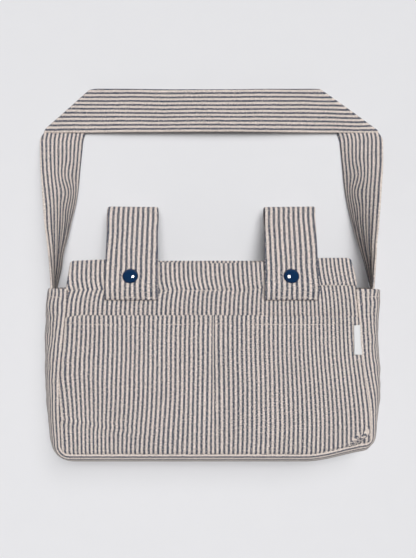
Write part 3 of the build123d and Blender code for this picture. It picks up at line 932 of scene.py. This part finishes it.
def half_strap(draw):
    """The right half of the strap, or the left half before it is mirrored.

    It runs from the mouth up its leg, folds over at the corner and ends at the middle of the top.
    """
    half = STRAP_WIDTH / 2
    t = np.concatenate([[-1, -0.985, -0.955], np.linspace(-0.93, 0.93, 61), [0.955, 0.985, 1]]) * half
    leg = STRAP_EDGE - LEG_END
    corner_x = SPAN - half
    radius = STRAP_CLOTH * 0.55
    runs = np.concatenate([
        np.linspace(-leg, -half - 6, 100), np.linspace(-half - 4, -5, 14), np.linspace(-4, 4, 15),
        np.linspace(5, 30, 12), np.linspace(36, corner_x, 40),
    ])
    ss, tt = np.meshgrid(runs, t, indexing="ij")
    reach = np.abs(ss)
    far = np.where(ss < 0, half + 6, 36.0)
    shear = np.where(reach > 4, 1 - smooth((reach - 4) / (far - 4)), 1.0)
    place = ss - tt * shear
    delta = (place + tt) / math.sqrt(2)
    tau = (place - tt) / math.sqrt(2)
    bent = np.abs(delta) <= math.pi * radius / 2
    inside = np.where(bent, radius * (1 - np.cos(delta / radius)), radius + np.abs(delta) - math.pi * radius / 2)
    height = np.where(bent, radius * np.sin(delta / radius), np.sign(delta) * radius)
    x = corner_x - (tau + inside) / math.sqrt(2)
    y = STRAP_EDGE + half + (tau - inside) / math.sqrt(2)
    z = STRAP_CLOTH / 2 + radius + 0.15 + height
    for i in range(len(runs)):
        down = (STRAP_EDGE + 6 - y[i]) / (STRAP_EDGE + 6 - MOUTH)
        if runs[i] > -4 or down.max() < 0:
            continue
        part = smooth(np.maximum(down, 0) / 0.1)
        for k in range(len(t)):
            if part[k] > 0:
                leg_x, leg_z = leg_section(down[k], t[k], draw)
                x[i, k] += (leg_x - x[i, k]) * part[k]
                z[i, k] += (leg_z - z[i, k]) * part[k]
    cloth = np.stack([tt, place], axis=2)
    return np.stack([x, y, z], axis=2), cloth


def turned_corner(points, skew):
    """Draws a corner's fold line over to its real slope and rounds its outer point, on the right-hand half."""
    x, y = points[..., 0], points[..., 1]
    x -= skew * np.maximum(y - STRAP_EDGE + 1, 0) * smooth((x - 60) / 70)
    top_x = SPAN - STRAP_WIDTH * (1 + skew)
    for angle, corner, depth in ((22.5, (SPAN, STRAP_EDGE), 3.6), (71.0, (top_x, STRAP_TOP), 1.3)):
        aside, up = math.cos(math.radians(angle)), math.sin(math.radians(angle))
        over = np.maximum((x - corner[0]) * aside + (y - corner[1]) * up + depth, 0)
        cut = over**2 / (over + 1.2)
        x -= aside * cut
        y -= up * cut


def drape_strap():
    """The whole strap, from its right half and its left half, with its gathers and its arch."""
    right, cloth = half_strap(0.0)
    left, _cloth = half_strap(2.4)
    turned_corner(right, 0.38)
    turned_corner(left, 0.12)
    left = left[::-1].copy()
    left[..., 0] *= -1
    points = np.concatenate([right, left[1:]], axis=0)
    mirrored = cloth[::-1].copy()
    mirrored[..., 1] = 2 * cloth[-1, :, 1][None, :] - mirrored[..., 1]
    flat = np.concatenate([cloth, mirrored[1:]], axis=0)
    tt, rr = flat[..., 0], flat[..., 1]
    x, y = points[..., 0], points[..., 1]
    on_leg = smooth((STRAP_EDGE - y) / 25)
    on_top = smooth((y - STRAP_EDGE + 6) / 6)
    sway = 0.9 * value_noise(tt / 40 + 3, rr / 60, 53) + 0.5 * value_noise(tt / 14 + 8, rr / 26, 54)
    gather = bell(y - 86, 24) * bell(tt + 6, 10) * on_leg
    sway = sway + 2.8 * gather * np.sin((y - 90) / 7.5)
    across = dark_at(tt - sway * np.where(y > STRAP_EDGE - 3, 0.7, 1.0), STRAP_DARK, STRAP_STRIPE)
    uv = np.stack([across, rr / STRIPE], axis=2)
    normal = grid_normals(points)
    normal *= np.sign(normal[..., 2:3] + 1e-6)
    lift = 0.35 * value_noise(tt / 20, rr / 34, 51) + 0.5 * gather * np.cos((y - 90) / 7.5)
    points = points + normal * lift[..., None]
    arch = bell(x, 105) * on_top
    # Nearer the camera the arch would look wider than the rest, so it is drawn in
    points[..., 1] -= 2.9 * arch * smooth((y - STRAP_EDGE) / STRAP_WIDTH)
    points[..., 2] += 6.0 * arch + 0.8 * on_top * value_noise(x / 50, y / 60, 55)
    points[..., 2] = np.maximum(points[..., 2], STRAP_CLOTH / 2 + 0.1)
    thick = STRAP_CLOTH - 0.8 * bell(STRAP_WIDTH / 2 - np.abs(tt), 0.8)
    obj = cloth_shell("strap_cloth", points, uv, thick, CANVAS, round_edge=0.3)
    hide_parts("shoulder_strap", "left_strap_anchor", "right_strap_anchor")
    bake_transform(obj)


# ---------------------------------------------------------------- label

def make_label():
    """A blank woven label, doubled over and caught in the right-hand seam."""
    pivot = np.array(JOINTS["label_flip"]["pos_m"]) / MM
    ff, yy = np.meshgrid(np.linspace(0, 1, 18), np.linspace(LABEL_HIGH[1], LABEL_LOW[1], 34))
    down = (LABEL_HIGH[1] - yy) / (LABEL_HIGH[1] - LABEL_LOW[1])
    root = right_half(yy) - 0.6 + 0.3 * np.sin(yy / 5)
    free = LABEL_LOW[0] + 0.4 * (1 - down) + 0.25 * np.sin(yy / 7)
    x = root + (free - root) * ff
    z = pivot[2] - 0.6 * (1 - ff) + 0.9 * np.sin(math.pi * ff) + 1.5 * ff + 0.35 * np.sin(yy / 6 + ff * 2) * ff
    points = np.stack([x, yy - 0.5 * ff * (1 - 2 * down), z], axis=2)[:, ::-1]
    cloth = np.stack([ff * 2.6, yy / 3], axis=2)[:, ::-1]
    obj = cloth_shell("label_ribbon_piece", points, cloth, 0.55, RIBBON, round_edge=0.5)
    dressed(obj, "label", "seam_label", slot="label_ribbon")


# ---------------------------------------------------------------- studio

def add_lamp(name, kind, energy, spread, place, target=(0.0, 0.0, 0.03)):
    """A lamp at a place, pointing at a target, in metres. spread is a sun's angle or an area lamp's size."""
    data = bpy.data.lights.new(name, kind)
    data.energy = energy
    setattr(data, "angle" if kind == "SUN" else "size", spread)
    lamp = bpy.data.objects.new(name, data)
    lamp.location = place
    aim = np.array(target) - np.array(place)
    flat = math.hypot(aim[0], aim[1])
    lamp.rotation_euler = (math.atan2(flat, -aim[2]), 0, math.atan2(-aim[0], aim[1]))
    bpy.context.scene.collection.objects.link(lamp)
    return lamp


def make_studio():
    """A wide pale floor under soft light from above, with a small lamp that only the enamel caps reflect."""
    size = 3000.0
    corners = [(-size, -size, 0), (size, -size, 0), (size, size, 0), (-size, size, 0)]
    floor = make_object("studio_floor", corners, [[0, 1, 2, 3]], FLOOR)
    world = bpy.data.worlds.new("studio")
    world.use_nodes = True
    background = world.node_tree.nodes["Background"]
    background.inputs["Color"].default_value = (1.0, 1.0, 1.0, 1.0)
    background.inputs["Strength"].default_value = 0.13
    bpy.context.scene.world = world
    for name, energy, degrees, place in (("key", 0.75, 30, (0.36, 0.62, 1.03)),
                                         ("overhead", 2.12, 34, (0.08, 0.18, 1.0))):
        sun = add_lamp(name, "SUN", energy, math.radians(degrees), place)
        sun.visible_glossy = False  # only the glint shows in the enamel
    add_lamp("fill", "AREA", 2.5, 1.2, (-0.7, -1.5, 0.5))
    glint = add_lamp("glint", "AREA", 1.6, 0.11, (0.007, 0.137, 0.273), (0.0, -0.005, 0.053))
    glint.visible_diffuse = False
    glint.visible_camera = False
    caps = bpy.data.collections.new("caps_for_glint")
    for cap in CAPS:
        caps.objects.link(cap)
    glint.light_linking.receiver_collection = caps
    bpy.context.scene.view_settings.view_transform = "Standard"


def make_camera():
    """The camera, straight above, as in the photograph."""
    data = bpy.data.cameras.new("camera")
    data.sensor_width = SENSOR
    data.lens = SENSOR * CAMERA[2] / VIEW_HEIGHT
    data.clip_end = 20
    camera = bpy.data.objects.new("camera", data)
    camera.location = np.array(CAMERA) * MM
    bpy.context.scene.collection.objects.link(camera)
    bpy.context.scene.camera = camera


make_camera()
make_back_panel()
make_seam_bindings()
make_gusset()
make_front_panel()
make_front_pocket()
make_label()
for word, side in (("left", -1), ("right", 1)):
    make_tab(word, side)
    make_snap(word)
drape_strap()
make_studio()
